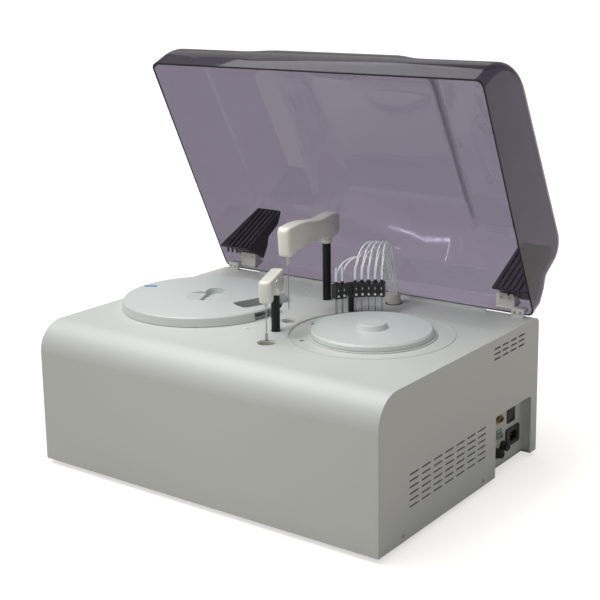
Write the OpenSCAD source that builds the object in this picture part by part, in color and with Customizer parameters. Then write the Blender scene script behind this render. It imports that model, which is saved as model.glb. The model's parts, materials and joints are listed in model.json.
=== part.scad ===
/* [Housing] */
// width of the housing over its side panels
body_w = 700; // [690:1:730]
// depth of the housing, front face to rear panel
body_d = 516; // [512:1:540]
// height of the housing from its underside to the deck
body_h = 246; // [236:1:280]
// height of the rubber feet
foot_h = 8; // [5:0.5:14]
// thickness of the side panels and the front moulding
wall_t = 3; // [2.5:0.1:4]
// thickness of the deck
deck_t = 5; // [4.5:0.1:6]
// radius of the long rounded edge between front and deck
front_r = 50; // [36:1:56]

/* [Lid] */
// opening angle of the lid as it stands here
lid_open = 65; // [55:1:75]
// wall thickness of the smoked lid
lid_wall = 3.5; // [2.5:0.1:4]
// height of the lid at its front
lid_front_h = 124; // [110:1:134]
// height of the lid at its rear, beside the raised centre
lid_rear_h = 152; // [148:1:160]
// how far the middle of the lid stands above its sides at the rear
lid_raise = 34; // [30:1:40]

/* [Covers and discs] */
// radius of the reagent cover
tray_cover_r = 149.5; // [147:0.5:149.5]
// height of the reagent cover
tray_cover_h = 17; // [14:0.5:18]
// radius of the reaction cover
react_cover_r = 105; // [102:0.5:106]
// height of the reaction cover, without its knob
react_cover_h = 10; // [8:0.5:12]
// number of cuvettes on the reaction disc, a multiple of four
cuvette_count = 64; // [56:8:64]
// number of bottles on each ring of the reagent tray, a multiple of four
bottle_count = 20; // [12:4:24]

/* [Probe and mixer] */
// height of the probe column over the deck
probe_col_h = 116; // [110:1:118]
// radius of the probe column
probe_col_r = 7.8; // [7:0.1:8.5]
// reach of the probe arm, column to needle
probe_reach = 155; // [150:1:158]
// height of the mixer column over the deck
mixer_col_h = 64; // [60:1:66]
// radius of the mixer column
mixer_col_r = 7.5; // [6.5:0.1:8]
// reach of the mixer arm, column to paddle
mixer_reach = 69; // [67:1:71]

/* [Connectors] */
// height of the power switch rocker
rocker_h = 28; // [24:0.5:30]
// width of the power switch rocker
rocker_w = 19; // [16:0.5:22]

/* [Hidden] */

$fn = 64;
eps = 0.01;

// main levels and edges
deck = foot_h + body_h;
half_w = body_w / 2;
half_d = body_d / 2;
inner_w = half_w - wall_t;
under_deck = deck - deck_t;
rear_r = 12;
low_r = 10;
lip_h = 32;
pan_t = 2.5;
pan_top = foot_h + pan_t;
chassis_z = 70;
chassis_t = 3;
chassis_top = chassis_z + chassis_t;

// places on the deck
tray_c = [157 - half_w, -2];
react_c = [half_w - 188, 13];
probe_c = [-28, 151];
mixer_c = [17, -63];
boss_c = [90, 195];
ring_r = 121;
recess_r = 139;
recess_depth = 2;
tray_open_r = tray_cover_r - 8;
react_open_r = react_cover_r - 7;
probe_dir = -80;
mixer_dir = -65;
probe_tip = probe_c + probe_reach * [cos(probe_dir), sin(probe_dir)];
mixer_tip = mixer_c + mixer_reach * [cos(mixer_dir), sin(mixer_dir)];
probe_hole = [41, 12];
mixer_hole = [84, -79.5];
probe_well_r = 14;
mixer_well_r = 16;
well_depth = 52;
hole_clear = 1.2;

// colours of the sub-parts
white_c = [0.87, 0.88, 0.86];
cream_c = [0.86, 0.85, 0.8];
black_c = [0.06, 0.06, 0.07];
metal_c = [0.7, 0.71, 0.72];
smoke_c = [0.38, 0.34, 0.42, 0.6];
grey_c = [0.45, 0.46, 0.47];

// fillet of a convex corner in a path: points of the arc, each with the outward normal
function unit(v) = v / norm(v);
function turn(a, b) = a[0] * b[1] - a[1] * b[0];
function corner(a, p, b, r, n) =
  let (
    u = unit(p - a),
    v = unit(b - p),
    side = turn(u, v) > 0 ? 1 : -1,
    half = acos(max(-1, min(1, u * v))) / 2,
    c = p - u * r * tan(half) + side * r * [-u[1], u[0]],
    start = atan2(-side * u[0], side * u[1])
  )
  [for (i = [0:n])
    let (t = start + side * 2 * half * i / n, d = [cos(t), sin(t)])
    [c + r * d, side * d]];

// lid section, from the front rim over the top to the rear rim: [depth, height, radius, steps]
lid_gap = 1.5;
hinge_y = half_d - 9;
hinge_z = deck + 11;
rear_lift = 4;
lid_rear = half_d - 1;
lid_front = -half_d + 40.5;
lid_len = lid_rear - lid_front;
lid_half = half_w - 3;
lid_fillet = 15;
lid_sides = [
  [lid_len, lid_front_h, 100, 8],
  [43, lid_rear_h, 44, 5],
  [33, 74, 10, 4],
  [18, 62, 16, 3],
  [0, 36, 16, 3]
];
lid_middle = [
  [lid_len, lid_front_h + 46.5, 160, 8],
  [82, lid_rear_h + lid_raise + 14, 24, 5],
  [33, 74, 10, 4],
  [18, 62, 16, 3],
  [0, 36, 16, 3]
];
function flat(p) = [p[0], p[1]];
function section(path) =
  let (
    first = [lid_len, 0],
    end = [0, rear_lift],
    m = len(path) - 1,
    at = function (i) i < 0 ? first : i > m ? end : flat(path[i])
  )
  concat(
    [[first, [1, 0]]],
    [for (i = [0:m]) each corner(at(i - 1), at(i), at(i + 1), path[i][2], path[i][3])],
    [[end, [-1, 0]]]
  );
sec_sides = section(lid_sides);
sec_middle = section(lid_middle);
sec_count = len(sec_sides);
flank_in = 122;
flank_out = 186;
function smooth(t) = let (u = max(0, min(1, t))) u * u * (3 - 2 * u);
function raised(x) = smooth((flank_out - abs(x)) / (flank_out - flank_in));
function lid_ring(x, inset, b) = [for (k = [0:sec_count - 1])
  let (
    n = unit(sec_sides[k][1] * (1 - b) + sec_middle[k][1] * b),
    p = sec_sides[k][0] * (1 - b) + sec_middle[k][0] * b - inset * n
  )
  [x, lid_rear - p[0], deck + lid_gap + max(0, p[1])]];
fillet_steps = 5;
function lid_stations(xw, r, off) = concat(
  [for (i = [0:fillet_steps]) let (a = 90 * i / fillet_steps)
    [-xw + r * (1 - cos(a)), off + r * (1 - sin(a))]],
  [for (x = [-flank_out:16:-flank_in]) [x, off]],
  [for (x = [flank_in:16:flank_out]) [x, off]],
  [for (i = [fillet_steps:-1:0]) let (a = 90 * i / fillet_steps)
    [xw - r * (1 - cos(a)), off + r * (1 - sin(a))]]
);
function skin(rows, cols, base, flip) = [for (j = [0:rows - 2]) for (k = [0:cols - 2])
  each let (
    a = base + j * cols + k,
    b = a + 1,
    c = a + cols,
    d = c + 1
  )
  flip ? [[a, b, d], [a, d, c]] : [[a, d, b], [a, c, d]]];
module lid_solid() {
  outer = lid_stations(lid_half, lid_fillet, 0);
  inner = lid_stations(lid_half - lid_wall, lid_fillet - lid_wall, lid_wall);
  n = sec_count;
  m = len(outer);
  pts = concat(
    [for (s = outer) each lid_ring(s[0], s[1], raised(s[0]))],
    [for (s = inner) each lid_ring(s[0], s[1], raised(s[0]))]
  );
  in0 = m * n;
  last = (m - 1) * n;
  rim = concat(
    [for (j = [0:m - 2]) each let (a = j * n, b = a + n, c = in0 + a, d = c + n)
      [[a, d, b], [a, c, d]]],
    [for (j = [0:m - 2]) each let (a = j * n + n - 1, b = a + n, c = in0 + a, d = c + n)
      [[a, b, d], [a, d, c]]],
    [[0, in0 + n - 1, in0], [0, n - 1, in0 + n - 1]],
    [[last, in0 + last, in0 + last + n - 1], [last, in0 + last + n - 1, last + n - 1]]
  );
  sides = [
    [for (k = [0:n - 1]) k],
    [for (k = [n - 1:-1:0]) last + k],
    [for (k = [n - 1:-1:0]) in0 + k],
    [for (k = [0:n - 1]) in0 + last + k]
  ];
  polyhedron(
    points = pts,
    faces = concat(skin(m, n, 0, false), skin(m, n, in0, true), rim, sides),
    convexity = 12
  );
}
// turns a piece drawn with the lid closed into the standing position
module lid_pose() {
  translate([0, hinge_y, hinge_z])
    rotate([-lid_open, 0, 0])
      translate([0, -hinge_y, -hinge_z])
        children();
}

// round bar with a flat start, along z
module bar(r, h) {
  cylinder(r = r, h = h);
}
module tube(r_out, r_in, h) {
  difference() {
    cylinder(r = r_out, h = h);
    translate([0, 0, -1]) cylinder(r = r_in, h = h + 2);
  }
}
// rectangle with four rounded corners, centred
module pill(w, h, r) {
  square([w - 2 * r, h], center = true);
  square([w, h - 2 * r], center = true);
  for (x = [-1, 1], y = [-1, 1])
    translate([x * (w / 2 - r), y * (h / 2 - r)]) circle(r = r);
}
module slab(w, d, h, r) {
  linear_extrude(h) pill(w, d, r);
}
// side view of the housing: y to the right, z up
module body_side(inset) {
  front = -half_d + inset;
  rear = half_d - inset;
  top = deck - inset;
  r_f = front_r - inset;
  r_b = rear_r - inset;
  low = foot_h;
  translate([front, low]) square([2 * half_d - 2 * inset, top - r_f - low]);
  translate([front + r_f, low]) square([rear - r_b - front - r_f, top - low]);
  translate([front + r_f, low]) square([rear - front - r_f, top - r_b - low]);
  translate([front + r_f, top - r_f]) circle(r = r_f);
  translate([rear - r_b, top - r_b]) circle(r = r_b);
}
module along_x(x0, len) {
  translate([x0, 0, 0]) rotate([90, 0, 90]) linear_extrude(len) children();
}

module base_pan() {
  flange = 14;
  color(metal_c) difference() {
    translate([-inner_w, -half_d + wall_t, foot_h])
      cube([2 * inner_w, body_d - 2 * wall_t, flange]);
    translate([-inner_w + 2, -half_d + wall_t + 2, pan_top])
      cube([2 * inner_w - 4, body_d - 2 * wall_t - 4, flange]);
    for (i = [-4:4])
      translate([i * 50, 66, foot_h - 1]) slab(8, 90, pan_t + 2, 3);
    translate([plate_x + 0.5, recess_y0, foot_h - 1])
      cube([40, recess_y1 - recess_y0, flange + 2]);
  }
}
foot_x = half_w - 45;
foot_y = half_d - 45;
module rubber_feet() {
  corners = [for (x = [-foot_x, foot_x], y = [-foot_y, foot_y]) [x, y]];
  color(black_c) for (c = concat(corners, [[0, 0]]))
    translate([c[0], c[1], 0]) rotate_extrude()
      polygon([[0, 0], [11, 0], [13, 1.5], [15, foot_h], [0, foot_h]]);
}
module chassis() {
  leg_r = 9;
  post_r = 6;
  color(metal_c) {
    difference() {
      translate([-inner_w + 22, -half_d + 30, chassis_z])
        cube([2 * inner_w - 44, body_d - 60, chassis_t]);
      for (c = [tray_c, react_c])
        translate([c[0], c[1], chassis_z - 1]) cylinder(r = 22, h = chassis_t + 2);
      for (c = [[-250, 185], [-140, 185], [250, 185], [250, -190], [-20, -190]])
        translate([c[0], c[1], chassis_z - 1]) slab(70, 22, chassis_t + 2, 10.5);
    }
    for (x = [60 - half_w, 0, half_w - 60], y = [53 - half_d, half_d - 53])
      translate([x, y, pan_top]) cylinder(r = leg_r, h = chassis_z - pan_top);
    for (x = [40 - half_w, 30, half_w - 40], y = [58 - half_d, half_d - 38])
      translate([x, y, chassis_top]) cylinder(r = post_r, h = under_deck - chassis_top);
  }
}
// the wash arc: eight places with one left free for the post
wash_start = 154.4;
wash_step = 360 / 64;
wash_slots = [0, 1, 3, 4, 5, 6, 7];
function wash_angle(k) = wash_start - wash_step * k;
post_angle = 138.6;
post_rad = 142;
wash_post_c = react_c + post_rad * [cos(post_angle), sin(post_angle)];
module arc_slot(r, w, a0, a1, h) {
  rotate([0, 0, a0]) rotate_extrude(angle = a1 - a0)
    translate([r - w / 2, 0]) square([w, h]);
  for (a = [a0, a1])
    translate([r * cos(a), r * sin(a), 0]) cylinder(r = w / 2, h = h);
}
module top_cover() {
  color(white_c) difference() {
    along_x(-inner_w, 2 * inner_w) body_side(0);
    along_x(-inner_w - 1, 2 * inner_w + 2) {
      difference() {
        body_side(wall_t);
        translate([-half_d, under_deck]) square([2 * half_d, deck_t + 1]);
      }
      translate([-half_d + wall_t, foot_h - 1]) square([body_d, 20]);
      translate([half_d - 30, foot_h - 1]) square([40, deck - lip_h - foot_h + 1]);
    }
    translate([tray_c[0], tray_c[1], under_deck - 1]) cylinder(r = tray_open_r, h = deck_t + 2);
    translate([react_c[0], react_c[1], under_deck - 1])
      cylinder(r = react_open_r, h = deck_t + 2);
    translate([react_c[0], react_c[1], deck - recess_depth])
      tube(recess_r, react_cover_r + 4, recess_depth + 1);
    translate([react_c[0], react_c[1], deck - 1])
      tube(recess_r + 2.5, recess_r + 1, 2);
    for (c = [probe_hole, mixer_hole])
      translate([c[0], c[1], under_deck - 1]) cylinder(r = 4, h = deck_t + 2);
    translate([probe_tip[0], probe_tip[1], under_deck - 1])
      cylinder(r = probe_well_r, h = deck_t + 2);
    translate([mixer_tip[0], mixer_tip[1], under_deck - 1])
      cylinder(r = mixer_well_r, h = deck_t + 2);
    translate([probe_c[0], probe_c[1], under_deck - 1])
      cylinder(r = probe_col_r + hole_clear, h = deck_t + 2);
    translate([mixer_c[0], mixer_c[1], under_deck - 1])
      cylinder(r = mixer_col_r + hole_clear, h = deck_t + 2);
    translate([react_c[0], react_c[1], under_deck - 1])
      arc_slot(ring_r, 8, wash_angle(7) - 1, wash_angle(0) + 1, deck_t + 2);
  }
}
// vent slots: columns by rows, seen from the side
module vents(y0, cols, pitch_y, z0, rows, pitch_z, w) {
  for (i = [0:cols - 1], j = [0:rows - 1])
    translate([y0 + i * pitch_y, z0 + j * pitch_z]) pill(w, 3, 1.4);
}
recess_y0 = 104;
recess_y1 = 236;
recess_top = foot_h + 108;
module side_vents() {
  vents(-158, 7, 35.5, foot_h + 50, 6, 10.4, 27);
  vents(105, 4, 29, deck - 35, 3, 9, 23);
}
module left_side() {
  color(white_c) along_x(-half_w, wall_t) difference() {
    body_side(0);
    vents(-158, 7, 35.5, foot_h + 50, 6, 10.4, 27);
  }
}
module right_side() {
  color(white_c) along_x(half_w - wall_t, wall_t) difference() {
    body_side(0);
    side_vents();
    translate([recess_y0, foot_h - 1]) square([recess_y1 - recess_y0, recess_top - foot_h - 9]);
    translate([recess_y0, foot_h]) square([recess_y1 - recess_y0 - 10, recess_top - foot_h]);
    translate([recess_y1 - 10, recess_top - 10]) circle(r = 10);
  }
}
module rear_panel() {
  color(white_c) difference() {
    translate([-inner_w, half_d - wall_t, foot_h])
      cube([2 * inner_w, wall_t, deck - lip_h - foot_h]);
    translate([0, half_d + 1, 0]) rotate([90, 0, 0]) linear_extrude(wall_t + 2)
      for (x = [-230, -150, 150, 230], j = [0:5])
        translate([x, 70 + 12 * j]) pill(60, 4, 1.9);
  }
}
ledge_y = hinge_y - 12.2;
module rear_ledge() {
  half = half_w - 95;
  color(white_c) translate([-half, ledge_y, deck]) cube([2 * half, 3, 5]);
}
module side_screw(side, y, z) {
  translate([side * half_w, y, z]) rotate([0, side * 90, 0]) difference() {
    cylinder(r1 = 3.4, r2 = 2.6, h = 1.4);
    translate([0, 0, 0.7]) slab(3.8, 0.9, 1, 0.3);
    translate([0, 0, 0.7]) slab(0.9, 3.8, 1, 0.3);
  }
}
module panel_screws() {
  color(metal_c) {
    for (s = [-1, 1], y = [-190, 61])
      side_screw(s, y, foot_h + 11);
    for (x = [-300, 0, 300], z = [foot_h + 14, deck - lip_h - 12])
      translate([x, half_d, z]) rotate([-90, 0, 0]) difference() {
        cylinder(r1 = 3.4, r2 = 2.6, h = 1.4);
        translate([0, 0, 0.7]) slab(3.8, 0.9, 1, 0.3);
      }
  }
}

// pots under the deck
pot_floor = chassis_top + 4;
tray_pot_r = 150;
react_pot_r = ring_r + 13;
spindle_r = 8;
module pot(c, r, shoulder_z, top_z) {
  color(metal_c) translate([c[0], c[1], 0]) rotate_extrude()
    polygon([[0, chassis_top], [r, chassis_top], [r, under_deck], [r - 4, under_deck],
      [r - 4, pot_floor], [22, pot_floor], [14, pot_floor + 10], [14, shoulder_z],
      [spindle_r, shoulder_z], [spindle_r, top_z], [0, top_z]]);
}
tray_z = 142;
rotor_z = deck - 62;
module reagent_pot() {
  pot(tray_c, tray_pot_r, tray_z - 0.3, tray_z + 34);
}
module reaction_pot() {
  pot(react_c, react_pot_r, rotor_z - 0.3, rotor_z + 22);
}
module well(c, r) {
  translate([c[0], c[1], deck - recess_depth - well_depth]) difference() {
    union() {
      cylinder(r = r, h = well_depth);
      translate([0, 0, -14]) cylinder(r = 4, h = 15);
    }
    translate([0, 0, 3]) cylinder(r = r - 2, h = well_depth);
    translate([0, 0, -15]) cylinder(r = 2.5, h = 30);
  }
}
module wash_wells() {
  color(cream_c) {
    well(probe_tip, probe_well_r);
    well(mixer_tip, mixer_well_r);
  }
}

// bushes, rods, carriages: each column goes up and down with its carriage
run_gap = 0.08;
bush_h = 16;
probe_stroke = 62;
mixer_stroke = 40;
carriage_h = 26;
carriage_top = 182;
probe_bush_z = under_deck - bush_h;
module bush(c, r) {
  translate([c[0], c[1], under_deck - bush_h]) difference() {
    union() {
      cylinder(r = r + 5, h = bush_h);
      translate([0, 0, bush_h - 4]) cylinder(r = r + 10, h = 4);
    }
    translate([0, 0, -1]) cylinder(r = r + run_gap, h = bush_h + 2);
  }
}
module column_bushes() {
  color(black_c) {
    bush(probe_c, probe_col_r);
    bush(mixer_c, mixer_col_r);
  }
}
rod_r = 4;
probe_rod_x = 26;
mixer_rod_y = 26;
module guide_rods() {
  color(metal_c) for (s = [-1, 1]) {
    translate([probe_c[0] + s * probe_rod_x, probe_c[1] + 6, chassis_top])
      cylinder(r = rod_r, h = under_deck - chassis_top);
    translate([mixer_c[0] - 4, mixer_c[1] + s * mixer_rod_y, chassis_top])
      cylinder(r = rod_r, h = under_deck - chassis_top);
  }
}
module probe_carriage() {
  color(grey_c) translate([probe_c[0], probe_c[1], carriage_top - carriage_h]) difference() {
    translate([0, 6, 0]) slab(2 * probe_rod_x + 18, 34, carriage_h, 6);
    for (s = [-1, 1])
      translate([s * probe_rod_x, 6, -1]) cylinder(r = rod_r + run_gap, h = carriage_h + 2);
    translate([0, 0, 8]) cylinder(r = probe_col_r - 2 + run_gap, h = carriage_h);
  }
}
module mixer_carriage() {
  color(grey_c) translate([mixer_c[0], mixer_c[1], carriage_top - carriage_h]) difference() {
    translate([-4, 0, 0]) slab(30, 2 * mixer_rod_y + 18, carriage_h, 6);
    for (s = [-1, 1])
      translate([-4, s * mixer_rod_y, -1]) cylinder(r = rod_r + run_gap, h = carriage_h + 2);
    translate([0, 0, 8]) cylinder(r = mixer_col_r - 2 + run_gap, h = carriage_h);
  }
}
// a column turns in its carriage on a step, and stands in the carriage's blind hole
module column(c, r, top) {
  translate([c[0], c[1], 0]) {
    translate([0, 0, carriage_top + 0.3]) cylinder(r = r, h = top - carriage_top - 0.3);
    translate([0, 0, carriage_top - carriage_h + 8.3]) cylinder(r = r - 2, h = carriage_h - 8);
  }
}
collar_h = 9;
probe_top = deck + probe_col_h;
module probe_column() {
  color(black_c) column(probe_c, probe_col_r, probe_top - collar_h);
}
module probe_collar() {
  color(cream_c) translate([probe_c[0], probe_c[1], probe_top - collar_h]) rotate_extrude()
    polygon([[0, 0], [probe_col_r + 1.2, 0], [probe_col_r + 2.2, 1], [probe_col_r + 2.6, 6.5],
      [probe_col_r + 1.6, collar_h], [0, collar_h]]);
}
// an arm is drawn along x from its column and then turned to its direction
module arm_frame(c, a) {
  translate([c[0], c[1], deck]) rotate([0, 0, a]) children();
}
function arc_pts(c, r, a0, a1, n) = [for (i = [0:n]) let (t = a0 + (a1 - a0) * i / n)
  c + r * [cos(t), sin(t)]];
// side view of the probe arm, height counted from the deck
probe_nose = probe_reach + 19;
probe_arm_side = concat(
  [[-14, 116], [14, 116], [24, 122.5], [probe_reach - 22, 122.5], [probe_reach - 7, 116]],
  arc_pts([probe_reach + 10, 123], 7, -90, -10, 4),
  arc_pts([probe_nose - 8, 158], 10.5, 0, 90, 6),
  [[132, 169.6], [100, 168], [70, 163], [44, 160.5], [16, 162], [-4, 162.6]],
  arc_pts([-20, 150], 12, 90, 170, 5),
  [[-32.4, 130]],
  arc_pts([-25, 128], 7, 200, 255, 3)
);
probe_arm_w = 25;
module probe_arm() {
  color(cream_c) arm_frame(probe_c, probe_dir) intersection() {
    translate([0, probe_arm_w / 2, 0]) rotate([90, 0, 0]) linear_extrude(probe_arm_w)
      polygon(probe_arm_side);
    translate([0, 0, 100]) linear_extrude(90) {
      translate([-40, -probe_arm_w / 2]) square([probe_nose + 40 - 9, probe_arm_w]);
      translate([-40, -probe_arm_w / 2 + 9])
        square([probe_nose + 60, probe_arm_w - 18]);
      for (s = [-1, 1]) translate([probe_nose - 6, s * (probe_arm_w / 2 - 9)]) circle(r = 9);
    }
  }
}
module probe_spigot() {
  color(white_c) translate([probe_tip[0], probe_tip[1], deck]) rotate_extrude()
    polygon([[0, 100], [1.6, 100], [2.2, 104], [2.2, 112], [5, 114], [5, 116], [0, 116]]);
}
probe_tip_z = 19.5;
module probe_needle() {
  color(metal_c) translate([probe_tip[0], probe_tip[1], deck + probe_tip_z]) rotate_extrude()
    polygon([[0, 0], [0.5, 0], [1, 5], [1, 80.5], [0, 80.5]]);
}
mixer_top = deck + mixer_col_h;
module mixer_column() {
  color(black_c) column(mixer_c, mixer_col_r, mixer_top);
}
mixer_nose = mixer_reach + 11;
mixer_arm_side = concat(
  [[-10, 64], [9, 64], [26, 77], [mixer_reach - 16, 80], [mixer_reach - 10, 70],
    [mixer_reach - 5, 67]],
  arc_pts([mixer_reach + 3, 72], 5, -90, -20, 3),
  [[mixer_nose, 92]],
  arc_pts([mixer_nose - 6, 99], 6, 0, 90, 4),
  [[-8, 104.5]],
  arc_pts([-17, 99], 5.5, 90, 180, 4),
  [[-21, 80], [-16, 70]]
);
mixer_arm_w = 22;
module mixer_arm() {
  color(cream_c) arm_frame(mixer_c, mixer_dir) intersection() {
    translate([0, mixer_arm_w / 2, 0]) rotate([90, 0, 0]) linear_extrude(mixer_arm_w)
      polygon(mixer_arm_side);
    translate([0, 0, 60]) linear_extrude(50) {
      translate([-30, -mixer_arm_w / 2]) square([mixer_nose + 30 - 7, mixer_arm_w]);
      translate([-30, -mixer_arm_w / 2 + 7]) square([mixer_nose + 40, mixer_arm_w - 14]);
      for (s = [-1, 1]) translate([mixer_nose - 6, s * (mixer_arm_w / 2 - 7)]) circle(r = 7);
    }
  }
}
module mixer_spigot() {
  color(white_c) translate([mixer_tip[0], mixer_tip[1], deck]) difference() {
    rotate_extrude()
      polygon([[0, 58], [2, 58], [2.8, 61], [2.8, 65], [5, 66], [5, 67], [0, 67]]);
    translate([0, 0, 57]) cylinder(r = 1 + run_gap, h = 8);
  }
}
module mixer_paddle() {
  color(metal_c) translate([mixer_tip[0], mixer_tip[1], deck]) {
    translate([0, 0, 12]) cylinder(r = 1, h = 52.6);
    translate([-3, -0.4, 3]) cube([6, 0.8, 12]);
  }
}

// covers
// outline of the needle slot, seen from above, grown by the given amount
slot_w = 45;
slot_at = [-96, -15];
module tray_slot(grow) {
  half = slot_w / 2 + grow;
  translate(slot_at) rotate(70) {
    translate([0, -half]) square([150, 2 * half]);
    polygon([[0, half], [-7 - grow, 18], [-9 - grow, 0], [-7 - grow, -18], [0, -half]]);
  }
}
// grip: a deep slot for the fingers with a shallow ramp on its left
grip_at = [-187, 12.4];
module tray_grip(h) {
  translate([grip_at[0], grip_at[1], h - 10.5]) rotate(24) {
    slab(35, 90, 12, 15);
    intersection() {
      translate([-17.5, -13, 4]) cylinder(r = 30, h = 10);
      translate([-44, -60, 10.5]) rotate([0, 11.3, 0]) cube([34, 120, 12]);
    }
  }
}
tray_seat = 0.4;
module tray_cover() {
  h = tray_cover_h;
  r = tray_cover_r;
  color(white_c) translate([0, 0, deck + tray_seat]) difference() {
    union() {
      translate([tray_c[0], tray_c[1], 0]) rotate_extrude()
        polygon([[0, h - 13], [62, h - 13], [64, h - 3], [r - 7, h - 3], [r - 4, 3],
          [tray_open_r - 3.5, 3], [tray_open_r - 3.5, -4], [tray_open_r - 1, -4],
          [tray_open_r - 1, 0], [r - 0.6, 0], [r, 0.6], [r - 2.2, h - 2.5], [r - 4.5, h],
          [0, h]]);
      translate([0, 0, 1]) linear_extrude(h - 2) intersection() {
        tray_slot(2.2);
        translate(tray_c) circle(r = r - 5.2);
      }
    }
    translate([0, 0, -6]) linear_extrude(h + 12) tray_slot(0);
    tray_grip(h);
    translate([tray_c[0], tray_c[1], -5]) rotate([0, 0, -13.5]) rotate_extrude(angle = 33)
      translate([r - 8.5, 0]) square([12, h + 1.5]);
  }
}
module reaction_cover() {
  h = react_cover_h;
  r = react_cover_r;
  color(white_c) translate([react_c[0], react_c[1], deck + tray_seat]) rotate_extrude()
    polygon([[0, h - 3], [react_open_r - 3.5, h - 3], [react_open_r - 3.5, -4],
      [react_open_r - 1, -4], [react_open_r - 1, 0],
      [r - 0.6, 0], [r, 0.6], [r - 1.6, h - 3], [r - 4.5, h],
      [27, h], [23.8, h + 8], [22.8, h + 9], [0, h + 9]]);
}

// reagent tray
tray_turn = 5.6;
module tray_at() {
  translate([tray_c[0], tray_c[1], 0]) rotate([0, 0, tray_turn]) children();
}
tray_r = tray_pot_r - 8;
bottle_step = 360 / bottle_count;
module reagent_tray() {
  color(grey_c) tray_at() {
    rotate_extrude()
      polygon([[spindle_r + run_gap, tray_z], [tray_r, tray_z], [tray_r, tray_z + 34],
        [tray_r - 2, tray_z + 34], [tray_r - 2, tray_z + 3], [90, tray_z + 3],
        [90, tray_z + 34], [88, tray_z + 34], [88, tray_z + 3], [42, tray_z + 3],
        [42, tray_z + 34], [40, tray_z + 34], [40, tray_z + 3], [22, tray_z + 3],
        [20, tray_z + 32], [spindle_r + run_gap, tray_z + 32]]);
    for (i = [0:bottle_count - 1])
      rotate([0, 0, bottle_step * (i + 0.5)]) {
        translate([89.5, -0.6, tray_z + 2.5]) cube([tray_r - 91, 1.2, 28]);
        translate([41.5, -0.6, tray_z + 2.5]) cube([47, 1.2, 28]);
      }
  }
}
module wedge(r0, r1, gap, z0, z1) {
  half = bottle_step / 2;
  w0 = r0 * tan(half) - gap;
  w1 = r1 * tan(half) - gap;
  c = 3;
  translate([0, 0, z0]) linear_extrude(z1 - z0)
    polygon([[r0, -w0 + 1], [r0 + 1, -w0], [r1 - c, -w1 + 0.3], [r1, -w1 + c],
      [r1, w1 - c], [r1 - c, w1 - 0.3], [r0 + 1, w0], [r0, w0 - 1]]);
}
bottle_base = tray_z + 3;
bottle_top = deck - 10;
module bottles(r0, r1, neck_at, neck_r, gap) {
  for (i = [0:bottle_count - 1])
    rotate([0, 0, bottle_step * i]) difference() {
      union() {
        wedge(r0, r1, gap, bottle_base, bottle_top - 12);
        translate([neck_at, 0, bottle_top - 13]) cylinder(r = neck_r, h = 13);
      }
      wedge(r0 + 1.5, r1 - 1.5, gap + 1.5, bottle_base + 1.5, bottle_top - 14);
      translate([neck_at, 0, bottle_top - 20]) cylinder(r = neck_r - 1.4, h = 22);
    }
}
probe_ring_r = 105;
module caps(neck_at, neck_r, hole_r) {
  for (i = [0:bottle_count - 1])
    rotate([0, 0, bottle_step * i]) translate([neck_at, 0, bottle_top - 7.5]) difference() {
      cylinder(r = neck_r + 1.5, h = 9.5);
      translate([0, 0, -1]) cylinder(r = neck_r + 0.05, h = 8.5);
      translate([0, 0, 1]) cylinder(r = hole_r, h = 12);
    }
}
module outer_caps() {
  color(black_c) tray_at() caps(probe_ring_r, 9.5, 1.9);
}
module inner_caps() {
  color(grey_c) tray_at() caps(66, 7.5, 1.5);
}
module outer_bottles() {
  color(white_c) tray_at()
    bottles(91, (tray_r - 2.5) * cos(bottle_step / 2), probe_ring_r, 9.5, 1.2);
}
module inner_bottles() {
  color(cream_c) tray_at() bottles(43, 87.5 * cos(bottle_step / 2), 66, 7.5, 1.2);
}

// reaction disc
cuv_step = 360 / cuvette_count;
module rotor_at() {
  translate([react_c[0], react_c[1], 0]) rotate([0, 0, wash_start]) children();
}
module reaction_rotor() {
  color(black_c) translate([react_c[0], react_c[1], rotor_z]) rotate_extrude()
    polygon([[spindle_r + run_gap, 0], [react_pot_r - 6, 0], [react_pot_r - 6, 10],
      [react_pot_r - 8, 12], [react_pot_r - 8, 4], [113, 4], [113, 40], [110, 40], [108, 4],
      [24, 4], [20, 20], [spindle_r + run_gap, 20]]);
}
module cuvettes() {
  top = 52;
  color([0.8, 0.86, 0.88, 0.5]) rotor_at() for (i = [0:cuvette_count - 1])
    rotate([0, 0, cuv_step * i]) translate([ring_r, 0, rotor_z + 4]) difference() {
      translate([-4.5, -4.2, 0]) cube([9, 8.4, top]);
      translate([-3.5, -3.2, 1.5]) cube([7, 6.4, top]);
    }
}

// wash station
wash_stroke = 22;
wash_low = 33;
wash_high = 58;
module wash_post() {
  color(black_c) translate([wash_post_c[0], wash_post_c[1], deck])
    cylinder(r = 5.3, h = wash_low + 17.5);
}
module on_arc(k) {
  a = wash_angle(k);
  translate([react_c[0], react_c[1], deck]) rotate([0, 0, a]) translate([ring_r, 0, 0])
    children();
}
module wash_block() {
  spine = 15;
  hub_r = 11;
  color(black_c) difference() {
    union() {
      for (k = wash_slots)
        on_arc(k) {
          translate([-8, -5.2, wash_low]) cube([16, 10.4, wash_high - wash_low]);
          translate([0, 0, wash_high - 1]) cylinder(r = 2.6, h = 6);
        }
      translate([react_c[0], react_c[1], deck + wash_low + 3]) linear_extrude(spine) {
        polygon(concat(
          arc_pts([0, 0], ring_r - 3, wash_angle(7), wash_angle(0), 14),
          arc_pts([0, 0], ring_r + 6, wash_angle(0), wash_angle(7), 14)
        ));
        rotate(post_angle) translate([ring_r, -8]) square([post_rad - ring_r, 16]);
        rotate(post_angle) translate([post_rad, 0]) circle(r = hub_r);
      }
    }
    translate([wash_post_c[0], wash_post_c[1], deck]) cylinder(r = 5.3 + run_gap, h = 90);
  }
}
module wash_screws() {
  color(white_c) for (k = wash_slots)
    on_arc(k) translate([-8, 0, wash_low + 5]) rotate([0, -90, 0]) cylinder(r = 2.1, h = 1.2);
}
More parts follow.
